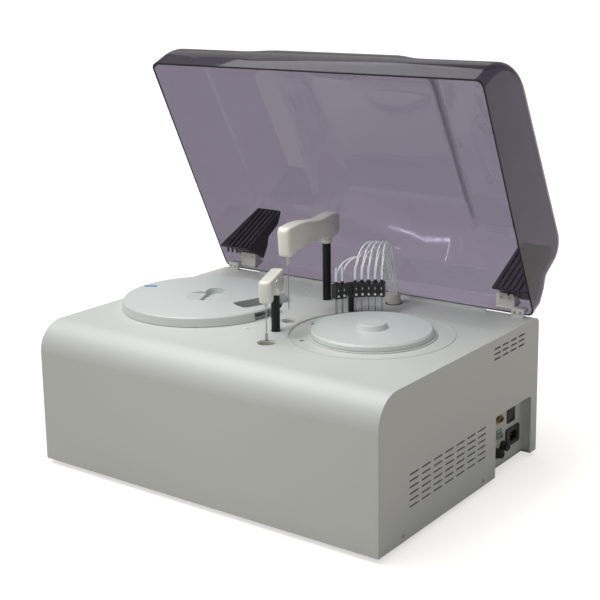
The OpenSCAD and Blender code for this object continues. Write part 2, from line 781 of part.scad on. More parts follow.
module wash_needles() {
  color(metal_c) for (k = wash_slots)
    on_arc(k) {
      translate([2, 0, 3]) cylinder(r = 0.8, h = wash_low - 3);
      translate([-2, 0, 5]) cylinder(r = 0.8, h = wash_low - 5);
    }
}
module tube_boss() {
  color(cream_c) translate([boss_c[0], boss_c[1], deck]) rotate_extrude()
    polygon([[0, 0], [13, 0], [12, 19], [11, 20], [9.6, 20], [9.4, 17], [0, 17]]);
}
module boss_ring() {
  color(black_c) translate([boss_c[0], boss_c[1], deck]) tube(15.5, 13, 0.8);
}
module screw_caps() {
  color(white_c) for (c = [[-33, -81], [-90, 175]])
    translate([c[0], c[1], deck]) cylinder(r1 = 4, r2 = 3, h = 1.4);
}
// one tube: up from its head, over and down into the boss
tube_r = 1.3;
function bez(p, t) = p[0] * pow(1 - t, 3) + 3 * p[1] * t * pow(1 - t, 2)
  + 3 * p[2] * t * t * (1 - t) + p[3] * pow(t, 3);
function tangent(p, t) = unit((p[1] - p[0]) * pow(1 - t, 2) + 2 * (p[2] - p[1]) * t * (1 - t)
  + (p[3] - p[2]) * t * t);
module sweep(p, r, n) {
  sides = 8;
  side_dir = unit(cross(tangent(p, 0.5), [0, 0, 1]) + [0, 0, 0.001]);
  rings = [for (i = [0:n])
    let (t = i / n, c = bez(p, t), w = tangent(p, t), u = unit(cross(w, cross(side_dir, w))),
      v = cross(w, u))
    each [for (j = [0:sides - 1]) c + r * (cos(360 * j / sides) * u + sin(360 * j / sides) * v)]];
  faces = concat(
    [for (i = [0:n - 1]) for (j = [0:sides - 1])
      each let (a = i * sides + j, b = i * sides + (j + 1) % sides)
      [[a, b + sides, b], [a, a + sides, b + sides]]],
    [[for (j = [0:sides - 1]) j]],
    [[for (j = [sides - 1:-1:0]) n * sides + j]]
  );
  polyhedron(points = rings, faces = faces, convexity = 6);
}
function head_top(k) = let (a = wash_angle(k))
  [react_c[0] + ring_r * cos(a), react_c[1] + ring_r * sin(a), deck + wash_high + 5];
module wash_tubes() {
  color([0.93, 0.94, 0.95]) for (i = [0:len(wash_slots) - 1]) {
    k = wash_slots[i];
    p0 = head_top(k);
    p3 = [boss_c[0] + 2.2 * (i - 3), boss_c[1] + (i % 2 == 0 ? -2.2 : 2.2), deck + 17.3];
    rise = k < 2 ? 66 : 92;
    over = k < 2 ? 84 : 130;
    sweep([p0, p0 + [0, 0, rise], p3 + [-4, -6, over], p3], tube_r, 11);
  }
}

// hinges
leaf_x0 = half_w - 42;
leaf_x1 = half_w - 19;
lid_leaf_x0 = half_w - 78;
pin_r = 2.5;
knuckle_r = 4;
module mirrored(side) {
  if (side < 0) mirror([1, 0, 0]) children();
  else children();
}
module deck_leaf(side) {
  mirrored(side) difference() {
    union() {
      translate([leaf_x0, hinge_y - 15, deck]) cube([leaf_x1 - leaf_x0, 5.5, 15]);
      translate([leaf_x0, hinge_y, hinge_z]) rotate([0, 90, 0])
        cylinder(r = knuckle_r, h = leaf_x1 - leaf_x0);
      translate([leaf_x0, hinge_y - 12, hinge_z - 4]) cube([leaf_x1 - leaf_x0, 12, 8]);
    }
    translate([leaf_x0 - 1, hinge_y, hinge_z]) rotate([0, 90, 0]) cylinder(r = pin_r, h = 60);
  }
}
module deck_leaf_left() {
  color(cream_c) deck_leaf(-1);
}
module deck_leaf_right() {
  color(cream_c) deck_leaf(1);
}
module hinge_pins() {
  color(metal_c) for (s = [-1, 1]) mirrored(s)
    translate([lid_leaf_x0, hinge_y, hinge_z]) rotate([0, 90, 0])
      cylinder(r = pin_r, h = leaf_x1 - lid_leaf_x0);
}
module deck_leaf_screws() {
  color(metal_c) for (s = [-1, 1]) mirrored(s)
    for (x = [leaf_x0 + 6, leaf_x0 + 17])
      translate([x, hinge_y - 15, deck + 8]) rotate([90, 0, 0]) cylinder(r = 2.6, h = 1.2);
}
// the lid's leaf is a wedge, whose front face stands upright when the lid is open
leaf_tilt = 65;
leaf_len = 25;
leaf_face = 3.2;
leaf_plate = 3;
leaf_up = [-sin(leaf_tilt), cos(leaf_tilt)];
leaf_out = [-cos(leaf_tilt), -sin(leaf_tilt)];
module lid_leaf(side) {
  w = leaf_x0 - 0.5 - lid_leaf_x0;
  mirrored(side) difference() {
    union() {
      translate([lid_leaf_x0, hinge_y, hinge_z]) rotate([0, 90, 0]) cylinder(r = knuckle_r, h = w);
      translate([lid_leaf_x0, hinge_y, hinge_z]) rotate([90, 0, 90]) linear_extrude(w)
        polygon([leaf_face * leaf_out, leaf_face * leaf_out + leaf_len * leaf_up,
          (leaf_face - leaf_plate) * leaf_out + leaf_len * leaf_up, [4.2, 22], [4.2, 0.5]]);
    }
    translate([lid_leaf_x0 - 1, hinge_y, hinge_z]) rotate([0, 90, 0])
      cylinder(r = pin_r + run_gap, h = 60);
  }
}
module lid_leaf_left() {
  color(cream_c) lid_pose() lid_leaf(-1);
}
module lid_leaf_right() {
  color(cream_c) lid_pose() lid_leaf(1);
}
module lid_leaf_screws() {
  c = leaf_face * leaf_out + 17 * leaf_up;
  color(metal_c) lid_pose() for (s = [-1, 1]) mirrored(s)
    for (x = [lid_leaf_x0 + 9, lid_leaf_x0 + 26])
      translate([x, hinge_y + c[0], hinge_z + c[1]]) rotate([90 + leaf_tilt, 0, 0])
        cylinder(r = 2.6, h = 1.2);
}
// a corner bracket: a ridged plate standing off the rear wall of the lid and seated on it;
// points are depth from the rear rim and height over the rim
seat_gap = 0.3;
bracket_x0 = half_w - 76;
bracket_x1 = lid_half - lid_fillet - 0.5;
function wall_line(h0, h1) = [for (k = [0:sec_count - 1])
  let (p = sec_sides[k][0] - (lid_wall + seat_gap) * sec_sides[k][1])
  if (p[1] > h0 && p[1] < h1 && p[0] < 70) p];
bracket_side = concat(wall_line(36, 118), [[32, 23], [50, 4], [54, 4], [62, 128], [58, 128]]);
bracket_face = [[50, 4], [54, 4], [62, 128], [58, 128]];
bracket_tip = [[51, 4], [54, 4], [55, 20], [52, 20]];
module lid_plate(x0, w, pts) {
  translate([x0, 0, 0]) rotate([90, 0, 90]) linear_extrude(w)
    polygon([for (q = pts) [lid_rear - q[0], deck + lid_gap + q[1]]]);
}
module bracket(side) {
  mirrored(side) {
    lid_plate(bracket_x0, bracket_x1 - bracket_x0, bracket_side);
    hull() {
      lid_plate(bracket_x1 - 1, 1, bracket_face);
      lid_plate(lid_half - lid_wall - seat_gap - 1, 1, bracket_tip);
    }
    for (i = [1:5])
      lid_plate(bracket_x0 + 11 * i - 5, 2.4, [[53, 6], [56, 6], [63.4, 126], [61, 126]]);
  }
}
module bracket_left() {
  color(black_c) lid_pose() bracket(-1);
}
module bracket_right() {
  color(black_c) lid_pose() bracket(1);
}
module lid_shell() {
  color(smoke_c) lid_pose() lid_solid();
}

// connector recess
plate_x = half_w - 19;
module port_plate() {
  color(white_c) difference() {
    union() {
      translate([plate_x - 2, recess_y0 - 6, pan_top])
        cube([2, recess_y1 - recess_y0 + 12, recess_top - pan_top + 6]);
      translate([plate_x - 2, recess_y0 - 6, recess_top + 4])
        cube([inner_w - plate_x + 2, recess_y1 - recess_y0 + 12, 2]);
      for (y = [recess_y0 - 6, recess_y1 + 4]) {
        translate([plate_x - 2, y, pan_top + 12])
          cube([inner_w - plate_x + 2, 2, recess_top - pan_top - 6]);
        translate([plate_x - 2, y, pan_top]) cube([inner_w - plate_x - 0.3, 2, 13]);
      }
    }
    translate([plate_x - 3, inlet_y - 20, inlet_z - 14]) cube([4, 40, 28]);
    translate([plate_x - 3, switch_y - 12, switch_z - 17]) cube([4, 24, 34]);
  }
}
inlet_y = 200;
inlet_z = foot_h + 42;
switch_y = 194;
switch_z = foot_h + 86;
module power_inlet() {
  color(black_c) translate([plate_x, inlet_y, inlet_z]) rotate([90, 0, 90]) difference() {
    union() {
      slab(48, 32, 3, 4);
      translate([0, 0, -20]) slab(36, 26, 22, 2);
    }
    translate([0, 0, -14]) slab(25, 17, 20, 3);
  }
}
module inlet_pins() {
  color(metal_c) translate([plate_x - 14, inlet_y, inlet_z]) rotate([90, 0, 90])
    for (p = [[-7, -2], [0, 3], [7, -2]])
      translate([p[0] - 1, p[1] - 2.5, 0]) cube([2, 5, 11]);
}
module switch_frame() {
  color(black_c) translate([plate_x, switch_y, switch_z]) rotate([90, 0, 90]) difference() {
    union() {
      slab(rocker_w + 8, rocker_h + 8, 2, 2);
      translate([0, 0, -20]) slab(rocker_w + 4, rocker_h + 4, 21, 1);
    }
    translate([0, 0, -16]) slab(rocker_w + 1, rocker_h + 1, 30, 0.6);
    translate([0, 0, -3]) rotate([0, 90, 0]) cylinder(r = 1.5, h = rocker_w + 3, center = true);
  }
}
module rocker() {
  color(black_c) translate([plate_x, switch_y, switch_z]) rotate([90, 0, 90])
    translate([-rocker_w / 2, 0, 0]) rotate([90, 0, 90]) union() {
      linear_extrude(rocker_w)
        polygon([[-rocker_h / 2 + 1, -4], [0, -8], [rocker_h / 2 - 1, -4],
          [rocker_h / 2 - 1.4, 4.6], [0, 1.6], [1.4 - rocker_h / 2, 1.2]]);
      translate([0, -3, -1]) cylinder(r = 1.4, h = rocker_w + 2);
    }
}
module signal_port(z, w) {
  translate([plate_x, 147, z]) rotate([90, 0, 90]) difference() {
    union() {
      slab(26, 18, 2, 1);
      slab(w, 10, 7, 3);
      for (s = [-1, 1]) translate([s * 10.6, 0, 0]) cylinder(r = 2, h = 5);
    }
    translate([0, 0, 3]) slab(w - 2, 8, 6, 2.5);
  }
}
module signal_port_upper() {
  color([0.62, 0.5, 0.3]) signal_port(foot_h + 88, 17);
}
module signal_port_lower() {
  color([0.6, 0.68, 0.62]) signal_port(foot_h + 58, 17);
}
module glands() {
  color(black_c) for (p = [[143, foot_h + 27], [164, foot_h + 34]])
    translate([plate_x, p[0], p[1]]) rotate([0, 90, 0]) rotate_extrude()
      polygon([[0, 0], [9, 0], [9, 5], [7.5, 6], [7.5, 12], [5, 14], [3, 14], [3, 10], [0, 10]]);
}

base_pan();
rubber_feet();
chassis();
top_cover();
left_side();
right_side();
rear_panel();
rear_ledge();
panel_screws();
reagent_pot();
reaction_pot();
wash_wells();
column_bushes();
guide_rods();
wash_post();
tube_boss();
boss_ring();
screw_caps();
deck_leaf_left();
deck_leaf_right();
deck_leaf_screws();
hinge_pins();
port_plate();
power_inlet();
inlet_pins();
switch_frame();
signal_port_upper();
signal_port_lower();
glands();
lid_shell();
lid_leaf_left();
lid_leaf_right();
lid_leaf_screws();
bracket_left();
bracket_right();
tray_cover();
reaction_cover();
reagent_tray();
outer_bottles();
inner_bottles();
outer_caps();
inner_caps();
reaction_rotor();
cuvettes();
probe_carriage();
probe_column();
probe_collar();
probe_arm();
probe_spigot();
probe_needle();
mixer_carriage();
mixer_column();
mixer_arm();
mixer_spigot();
mixer_paddle();
wash_block();
wash_screws();
wash_needles();
wash_tubes();
rocker();
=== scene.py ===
import json
from math import acos, atan2, cos, pi, radians, sin, tan

import bmesh
import bpy
from mathutils import Matrix, Vector


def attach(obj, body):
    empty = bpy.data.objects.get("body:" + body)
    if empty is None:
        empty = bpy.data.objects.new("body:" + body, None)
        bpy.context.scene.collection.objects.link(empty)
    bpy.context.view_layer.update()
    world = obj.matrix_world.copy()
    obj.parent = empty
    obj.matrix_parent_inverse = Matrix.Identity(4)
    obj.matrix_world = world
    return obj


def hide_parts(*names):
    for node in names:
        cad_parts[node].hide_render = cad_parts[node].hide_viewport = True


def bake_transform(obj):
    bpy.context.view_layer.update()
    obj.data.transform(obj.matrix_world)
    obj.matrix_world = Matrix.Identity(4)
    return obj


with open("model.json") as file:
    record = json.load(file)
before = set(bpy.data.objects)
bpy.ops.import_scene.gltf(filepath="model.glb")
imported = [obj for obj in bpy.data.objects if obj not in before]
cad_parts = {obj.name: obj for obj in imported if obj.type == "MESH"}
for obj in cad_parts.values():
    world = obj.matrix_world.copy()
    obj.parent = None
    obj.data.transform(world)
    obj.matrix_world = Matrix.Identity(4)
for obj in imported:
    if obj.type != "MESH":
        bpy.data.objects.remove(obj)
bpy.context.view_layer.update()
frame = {"nodes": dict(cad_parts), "record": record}
nodes = frame["nodes"]
MM = 0.001

# Places and sizes of the instrument, in millimetres, as in its drawing.
DECK = 254.0
REACTION = (162.0, 13.0)
PROBE = (-28.0, 151.0)
MIXER = (17.0, -63.0)
BOSS = (90.0, 195.0)
PROBE_AIM = -80.0
MIXER_AIM = -65.0
PROBE_REACH = 155.0
MIXER_REACH = 69.0
RING_R = 121.0
WASH_START = 154.4
WASH_STEP = 5.625
WASH_SLOTS = (0, 1, 3, 4, 5, 6, 7)
WASH_TOP = 58.0
LID_OPEN = 65.0
LID_REAR = 257.0
LID_FRONT = -217.5
LID_LEN = LID_REAR - LID_FRONT
LID_HALF = 347.0
LID_FILLET = 15.0
LID_WALL = 3.5
LID_GAP = 1.5
LID_SKIN_INSET = 0.35  # keeps the finer rounds of the visible lid inside the drawing's
LID_FILLET_STEPS = 12
FLANK_IN = 122
FLANK_OUT = 186
FLANK_STEP = 4
HINGE_Y = 249.0
HINGE_Z = 265.0


# ---------------------------------------------------------------- mesh helpers


def new_object(name, mesh):
    obj = bpy.data.objects.new(name, mesh)
    bpy.context.scene.collection.objects.link(obj)
    return obj


def mesh_from(name, verts, faces, smooth=True, sharp=35.0):
    """A mesh object from points in millimetres, shaded smooth up to the sharp angle."""
    mesh = bpy.data.meshes.new(name)
    mesh.from_pydata([tuple(c * MM for c in v) for v in verts], [], faces)
    mesh.validate()
    obj = new_object(name, mesh)
    finish_mesh(obj, smooth, sharp)
    return obj


def shade(obj, sharp=35.0):
    """Smooth shading up to the sharp angle, in degrees."""
    obj.data.shade_smooth()
    obj.data.set_sharp_from_angle(angle=radians(sharp))
    return obj


def finish_mesh(obj, smooth=True, sharp=35.0):
    work = bmesh.new()
    work.from_mesh(obj.data)
    bmesh.ops.recalc_face_normals(work, faces=work.faces)
    work.to_mesh(obj.data)
    work.free()
    if smooth:
        shade(obj, sharp)


def apply_modifiers(obj):
    depsgraph = bpy.context.evaluated_depsgraph_get()
    mesh = bpy.data.meshes.new_from_object(obj.evaluated_get(depsgraph))
    obj.modifiers.clear()
    obj.data = mesh
    return obj


def soften(obj, width, segments=3, angle=30.0, sharp=35.0):
    """Rounds the edges of a piece by a width in millimetres."""
    bevel = obj.modifiers.new("rounding", "BEVEL")
    bevel.width = width * MM
    bevel.segments = segments
    bevel.limit_method = "ANGLE"
    bevel.angle_limit = radians(angle)
    bevel.harden_normals = False
    bpy.context.view_layer.update()
    apply_modifiers(obj)
    return shade(obj, sharp)


def block(name, size, rounding=0.6, segments=2):
    """A moulded block with rounded edges about its own centre, size in millimetres."""
    x, y, z = (s / 2 for s in size)
    verts = [(a, b, c) for a in (-x, x) for b in (-y, y) for c in (-z, z)]
    faces = [(0, 1, 3, 2), (4, 6, 7, 5), (0, 4, 5, 1), (2, 3, 7, 6), (0, 2, 6, 4), (1, 5, 7, 3)]
    obj = mesh_from(name, verts, faces, False)
    if rounding:
        soften(obj, rounding, segments)
    return obj


def place(obj, at, turn=(0.0, 0.0, 0.0)):
    """Moves the mesh itself to its place, in millimetres, after turning it by degrees about x, y and z."""
    x_turn, y_turn, z_turn = (Matrix.Rotation(radians(a), 4, axis) for a, axis in zip(turn, "XYZ"))
    spin = z_turn @ y_turn @ x_turn
    obj.data.transform(Matrix.Translation(Vector(at) * MM) @ spin)
    return obj


def join(name, parts):
    """One object from several; the joined mesh starts with no materials of its own."""
    work = bmesh.new()
    for part in parts:
        work.from_mesh(part.data)
    mesh = bpy.data.meshes.new(name)
    work.to_mesh(mesh)
    work.free()
    for part in parts:
        bpy.data.objects.remove(part)
    return new_object(name, mesh)


def lid_pose_matrix():
    """Turns a piece drawn with the lid closed into its standing place."""
    hinge = Vector((0, HINGE_Y * MM, HINGE_Z * MM))
    return Matrix.Translation(hinge) @ Matrix.Rotation(radians(-LID_OPEN), 4, "X") @ Matrix.Translation(-hinge)


# ------------------------------------------------------------- shader groups


def new_group(name, inputs, outputs):
    """An empty shader group with its named sockets, and its two end nodes."""
    group = bpy.data.node_groups.new(name, "ShaderNodeTree")
    for label, kind, value in inputs:
        socket = group.interface.new_socket(name=label, in_out="INPUT", socket_type=kind)
        socket.default_value = value
    for label, kind in outputs:
        group.interface.new_socket(name=label, in_out="OUTPUT", socket_type=kind)
    start = group.nodes.new("NodeGroupInput")
    end = group.nodes.new("NodeGroupOutput")
    return group, start, end


def add(tree, kind, **settings):
    node = tree.nodes.new(kind)
    for key, value in settings.items():
        setattr(node, key, value)
    return node


def math_node(tree, operation, a, b=None, clamp=False):
    node = add(tree, "ShaderNodeMath", operation=operation, use_clamp=clamp)
    for socket, value in ((0, a), (1, b)):
        if value is None:
            continue
        if isinstance(value, (int, float)):
            node.inputs[socket].default_value = value
        else:
            tree.links.new(value, node.inputs[socket])
    return node.outputs[0]


def noise_value(tree, vector, scale, detail=3.0, rough=0.5):
    node = add(tree, "ShaderNodeTexNoise")
    node.inputs["Detail"].default_value = detail
    node.inputs["Roughness"].default_value = rough
    if isinstance(scale, (int, float)):
        node.inputs["Scale"].default_value = scale
    else:
        tree.links.new(scale, node.inputs["Scale"])
    tree.links.new(vector, node.inputs["Vector"])
    return node.outputs["Fac"]


def make_mottle():
    """Slight patches of lighter and darker colour, as in moulded or painted skins."""
    group, start, end = new_group(
        "Colour mottle",
        [("Colour", "NodeSocketColor", (0.8, 0.8, 0.8, 1)), ("Patch scale", "NodeSocketFloat", 9.0),
         ("Fleck scale", "NodeSocketFloat", 900.0), ("Spread", "NodeSocketFloat", 0.03)],
        [("Colour", "NodeSocketColor"), ("Mask", "NodeSocketFloat")])
    spot = add(group, "ShaderNodeTexCoord").outputs["Object"]
    patch = noise_value(group, spot, start.outputs["Patch scale"], 4.0, 0.55)
    fleck = noise_value(group, spot, start.outputs["Fleck scale"], 1.0)
    both = math_node(group, "ADD", math_node(group, "MULTIPLY", patch, 0.75),
                     math_node(group, "MULTIPLY", fleck, 0.25))
    swing = math_node(group, "MULTIPLY", math_node(group, "SUBTRACT", both, 0.5), 2.0)
    gain = math_node(group, "ADD", math_node(group, "MULTIPLY", swing, start.outputs["Spread"]), 1.0)
    scaled = add(group, "ShaderNodeVectorMath", operation="SCALE")
    group.links.new(start.outputs["Colour"], scaled.inputs[0])
    group.links.new(gain, scaled.inputs["Scale"])
    group.links.new(scaled.outputs[0], end.inputs["Colour"])
    group.links.new(both, end.inputs["Mask"])
    return group


def make_grain():
    """Fine spark texture and soft waviness of a moulded or sprayed skin, as a height."""
    group, start, end = new_group(
        "Skin grain",
        [("Grain scale", "NodeSocketFloat", 1500.0), ("Wave scale", "NodeSocketFloat", 30.0),
         ("Wave share", "NodeSocketFloat", 0.4)],
        [("Height", "NodeSocketFloat")])
    spot = add(group, "ShaderNodeTexCoord").outputs["Object"]
    grain = noise_value(group, spot, start.outputs["Grain scale"], 2.0, 0.6)
    wave = noise_value(group, spot, start.outputs["Wave scale"], 1.0)
    total = math_node(group, "ADD", grain, math_node(group, "MULTIPLY", wave, start.outputs["Wave share"]))
    group.links.new(total, end.inputs["Height"])
    return group


def make_handling():
    """Roughness that changes with wiping marks, finger smudges and hairline scratches."""
    group, start, end = new_group(
        "Handling marks",
        [("Roughness", "NodeSocketFloat", 0.4), ("Smudge", "NodeSocketFloat", 0.08),
         ("Scratch", "NodeSocketFloat", 0.03), ("Smudge scale", "NodeSocketFloat", 14.0)],
        [("Roughness", "NodeSocketFloat"), ("Scratches", "NodeSocketFloat")])
    spot = add(group, "ShaderNodeTexCoord").outputs["Object"]
    smudge = noise_value(group, spot, start.outputs["Smudge scale"], 5.0, 0.6)
    stretch = add(group, "ShaderNodeMapping")
    stretch.inputs["Rotation"].default_value = (0.5, 0.3, 0.9)
    stretch.inputs["Scale"].default_value = (40.0, 900.0, 500.0)
    group.links.new(spot, stretch.inputs["Vector"])
    line = noise_value(group, stretch.outputs["Vector"], 1.0, 1.0)
    peaks = math_node(group, "MULTIPLY", math_node(group, "SUBTRACT", line, 0.66, True), 9.0)
    thin = math_node(group, "SMOOTH_MIN", 1.0, peaks)
    cloud = math_node(group, "MULTIPLY", math_node(group, "SUBTRACT", smudge, 0.5), start.outputs["Smudge"])
    base = math_node(group, "ADD", start.outputs["Roughness"], cloud)
    out = math_node(group, "ADD", base, math_node(group, "MULTIPLY", thin, start.outputs["Scratch"]), True)
    group.links.new(out, end.inputs["Roughness"])
    group.links.new(thin, end.inputs["Scratches"])
    return group


def make_dust():
    """Thin dust that lies on faces that look up."""
    group, start, end = new_group(
        "Settled dust",
        [("Colour", "NodeSocketColor", (0.8, 0.8, 0.8, 1)), ("Dust colour", "NodeSocketColor", (0.6, 0.58, 0.54, 1)),
         ("Amount", "NodeSocketFloat", 0.06)],
        [("Colour", "NodeSocketColor"), ("Mask", "NodeSocketFloat")])
    spot = add(group, "ShaderNodeTexCoord").outputs["Object"]
    facing = add(group, "ShaderNodeSeparateXYZ")
    group.links.new(add(group, "ShaderNodeNewGeometry").outputs["Normal"], facing.inputs[0])
    up = math_node(group, "MAXIMUM", facing.outputs["Z"], 0.0)
    cloud = noise_value(group, spot, 22.0, 6.0, 0.7)
    mask = math_node(group, "MULTIPLY", math_node(group, "MULTIPLY", up, cloud), start.outputs["Amount"], True)
    mix = add(group, "ShaderNodeMix", data_type="RGBA")
    group.links.new(mask, mix.inputs["Factor"])
    group.links.new(start.outputs["Colour"], mix.inputs[6])
    group.links.new(start.outputs["Dust colour"], mix.inputs[7])
    group.links.new(mix.outputs[2], end.inputs["Colour"])
    group.links.new(mask, end.inputs["Mask"])
    return group


def make_brushing():
    """Drawn and turned lines on bare metal, along one axis."""
    group, start, end = new_group(
        "Drawn lines",
        [("Along", "NodeSocketVector", (4.0, 600.0, 600.0)), ("Roughness", "NodeSocketFloat", 0.3),
         ("Spread", "NodeSocketFloat", 0.12)],
        [("Height", "NodeSocketFloat"), ("Roughness", "NodeSocketFloat")])
    spot = add(group, "ShaderNodeTexCoord").outputs["Object"]
    stretch = add(group, "ShaderNodeVectorMath", operation="MULTIPLY")
    group.links.new(spot, stretch.inputs[0])
    group.links.new(start.outputs["Along"], stretch.inputs[1])
    line = noise_value(group, stretch.outputs[0], 1.0, 2.0, 0.6)
    swing = math_node(group, "MULTIPLY", math_node(group, "SUBTRACT", line, 0.5), start.outputs["Spread"])
    rough = math_node(group, "ADD", start.outputs["Roughness"], swing, True)
    group.links.new(line, end.inputs["Height"])
    group.links.new(rough, end.inputs["Roughness"])
    return group


def make_rim():
    """Darker band along the rim of the lid, where one looks along the sheet; distances in metres from its rim."""
    group, start, end = new_group(
        "Cut rim",
        [("Colour", "NodeSocketColor", (0.2, 0.2, 0.2, 1)), ("Edge colour", "NodeSocketColor", (0.02, 0.02, 0.03, 1)),
         ("Width", "NodeSocketFloat", 0.0045)],
        [("Colour", "NodeSocketColor"), ("Mask", "NodeSocketFloat")])
    spot = add(group, "ShaderNodeTexCoord").outputs["Object"]
    across = add(group, "ShaderNodeVectorMath", operation="DOT_PRODUCT")
    upright = lid_pose_matrix() @ Vector((0, 0, (DECK + LID_GAP) * MM))
    normal = (lid_pose_matrix().to_3x3() @ Vector((0, 0, 1))).normalized()
    across.inputs[1].default_value = tuple(normal)
    group.links.new(spot, across.inputs[0])
    depth = math_node(group, "SUBTRACT", across.outputs["Value"], upright.dot(normal))
    share = math_node(group, "DIVIDE", depth, start.outputs["Width"])
    mask = math_node(group, "SUBTRACT", 1.0, math_node(group, "MULTIPLY", share, share, True), True)
    mix = add(group, "ShaderNodeMix", data_type="RGBA")
    group.links.new(mask, mix.inputs["Factor"])
    group.links.new(start.outputs["Colour"], mix.inputs[6])
    group.links.new(start.outputs["Edge colour"], mix.inputs[7])
    group.links.new(mix.outputs[2], end.inputs["Colour"])
    group.links.new(mask, end.inputs["Mask"])
    return group


MOTTLE = make_mottle()
RIM = make_rim()
GRAIN = make_grain()
HANDLING = make_handling()
DUST = make_dust()
BRUSHING = make_brushing()


def use(tree, group, **values):
    node = tree.nodes.new("ShaderNodeGroup")
    node.node_tree = group
    for key, value in values.items():
        node.inputs[key.replace("_", " ")].default_value = value
    return node


def start_material(name):
    material = bpy.data.materials.new(name)
    material.use_nodes = True
    tree = material.node_tree
    shader = tree.nodes["Principled BSDF"]
    return material, tree, shader


def bump_into(tree, shader, height, strength, distance, rounding=0.0):
    """Height to the shader's normal, over edges that look rounded by so many millimetres."""
    bump = add(tree, "ShaderNodeBump")
    bump.inputs["Strength"].default_value = strength
    bump.inputs["Distance"].default_value = distance * MM
    tree.links.new(height, bump.inputs["Height"])
    if rounding:
        edge = add(tree, "ShaderNodeBevel", samples=4)
        edge.inputs["Radius"].default_value = rounding * MM
        tree.links.new(edge.outputs["Normal"], bump.inputs["Normal"])
    tree.links.new(bump.outputs["Normal"], shader.inputs["Normal"])
    return bump


def moulded(name, colour, rough=0.38, spread=0.03, grain=1500.0, depth=0.02, smudge=0.08, scratch=0.02,
            dust=0.05, coat=0.0, patch=9.0, rounding=0.5, specular=0.5, wave=0.4):
    """A moulded or painted plastic: mottle, dust, skin grain and handling marks."""
    material, tree, shader = start_material(name)
    colour_node = use(tree, MOTTLE, Colour=(*colour, 1), Patch_scale=patch, Spread=spread)
    dusty = use(tree, DUST, Amount=dust)
    tree.links.new(colour_node.outputs["Colour"], dusty.inputs["Colour"])
    tree.links.new(dusty.outputs["Colour"], shader.inputs["Base Color"])
    marks = use(tree, HANDLING, Roughness=rough, Smudge=smudge, Scratch=scratch)
    tree.links.new(marks.outputs["Roughness"], shader.inputs["Roughness"])
    skin = use(tree, GRAIN, Grain_scale=grain, Wave_share=wave)
    bump_into(tree, shader, skin.outputs["Height"], 0.35, depth, rounding)
    shader.inputs["Coat Weight"].default_value = coat
    shader.inputs["Coat Roughness"].default_value = 0.12
    shader.inputs["Specular IOR Level"].default_value = specular
    return material


def metal(name, colour, rough=0.28, along=(4.0, 600.0, 600.0), spread=0.12, depth=0.01, mottle=0.05,
          metallic=1.0, rounding=0.3):
    """Bare metal with drawn lines."""
    material, tree, shader = start_material(name)
    colour_node = use(tree, MOTTLE, Colour=(*colour, 1), Patch_scale=25.0, Spread=mottle)
    tree.links.new(colour_node.outputs["Colour"], shader.inputs["Base Color"])
    lines = use(tree, BRUSHING, Along=along, Roughness=rough, Spread=spread)
    tree.links.new(lines.outputs["Roughness"], shader.inputs["Roughness"])
    bump_into(tree, shader, lines.outputs["Height"], 0.3, depth, rounding)
    shader.inputs["Metallic"].default_value = metallic
    return material


def smoked_sheet(name, tint, edge):
    """Smoked clear acrylic: polished, darker along its cut rim and where one looks along the sheet."""
    material, tree, shader = start_material(name)
    colour_node = use(tree, MOTTLE, Colour=(*tint, 1), Patch_scale=5.0, Fleck_scale=300.0, Spread=0.04)
    rim = use(tree, RIM, Edge_colour=(*edge, 1), Width=0.0028)
    tree.links.new(colour_node.outputs["Colour"], rim.inputs["Colour"])
    slant = add(tree, "ShaderNodeLayerWeight")
    slant.inputs["Blend"].default_value = 0.5
    along = math_node(tree, "MULTIPLY", math_node(tree, "SUBTRACT", slant.outputs["Facing"], 0.66), 4.0, True)
    deep = add(tree, "ShaderNodeMix", data_type="RGBA")
    tree.links.new(along, deep.inputs["Factor"])
    tree.links.new(rim.outputs["Colour"], deep.inputs[6])
    deep.inputs[7].default_value = (*edge, 1)
    tree.links.new(deep.outputs[2], shader.inputs["Base Color"])
    marks = use(tree, HANDLING, Roughness=0.03, Smudge=0.04, Scratch=0.03, Smudge_scale=9.0)
    tree.links.new(marks.outputs["Roughness"], shader.inputs["Roughness"])
    skin = use(tree, GRAIN, Grain_scale=60.0, Wave_scale=7.0, Wave_share=1.0)
    bump_into(tree, shader, skin.outputs["Height"], 0.05, 0.2)
    shader.inputs["Transmission Weight"].default_value = 1.0
    shader.inputs["IOR"].default_value = 1.45
    return material


def clear_cell(name, tint):
    material, tree, shader = start_material(name)
    colour_node = use(tree, MOTTLE, Colour=(*tint, 1), Patch_scale=60.0, Spread=0.03)
    tree.links.new(colour_node.outputs["Colour"], shader.inputs["Base Color"])
    marks = use(tree, HANDLING, Roughness=0.12, Smudge=0.1, Scratch=0.02)
    tree.links.new(marks.outputs["Roughness"], shader.inputs["Roughness"])
    skin = use(tree, GRAIN, Grain_scale=400.0, Wave_scale=60.0)
    bump_into(tree, shader, skin.outputs["Height"], 0.1, 0.05)
    shader.inputs["Transmission Weight"].default_value = 0.7
    shader.inputs["IOR"].default_value = 1.3
    return material


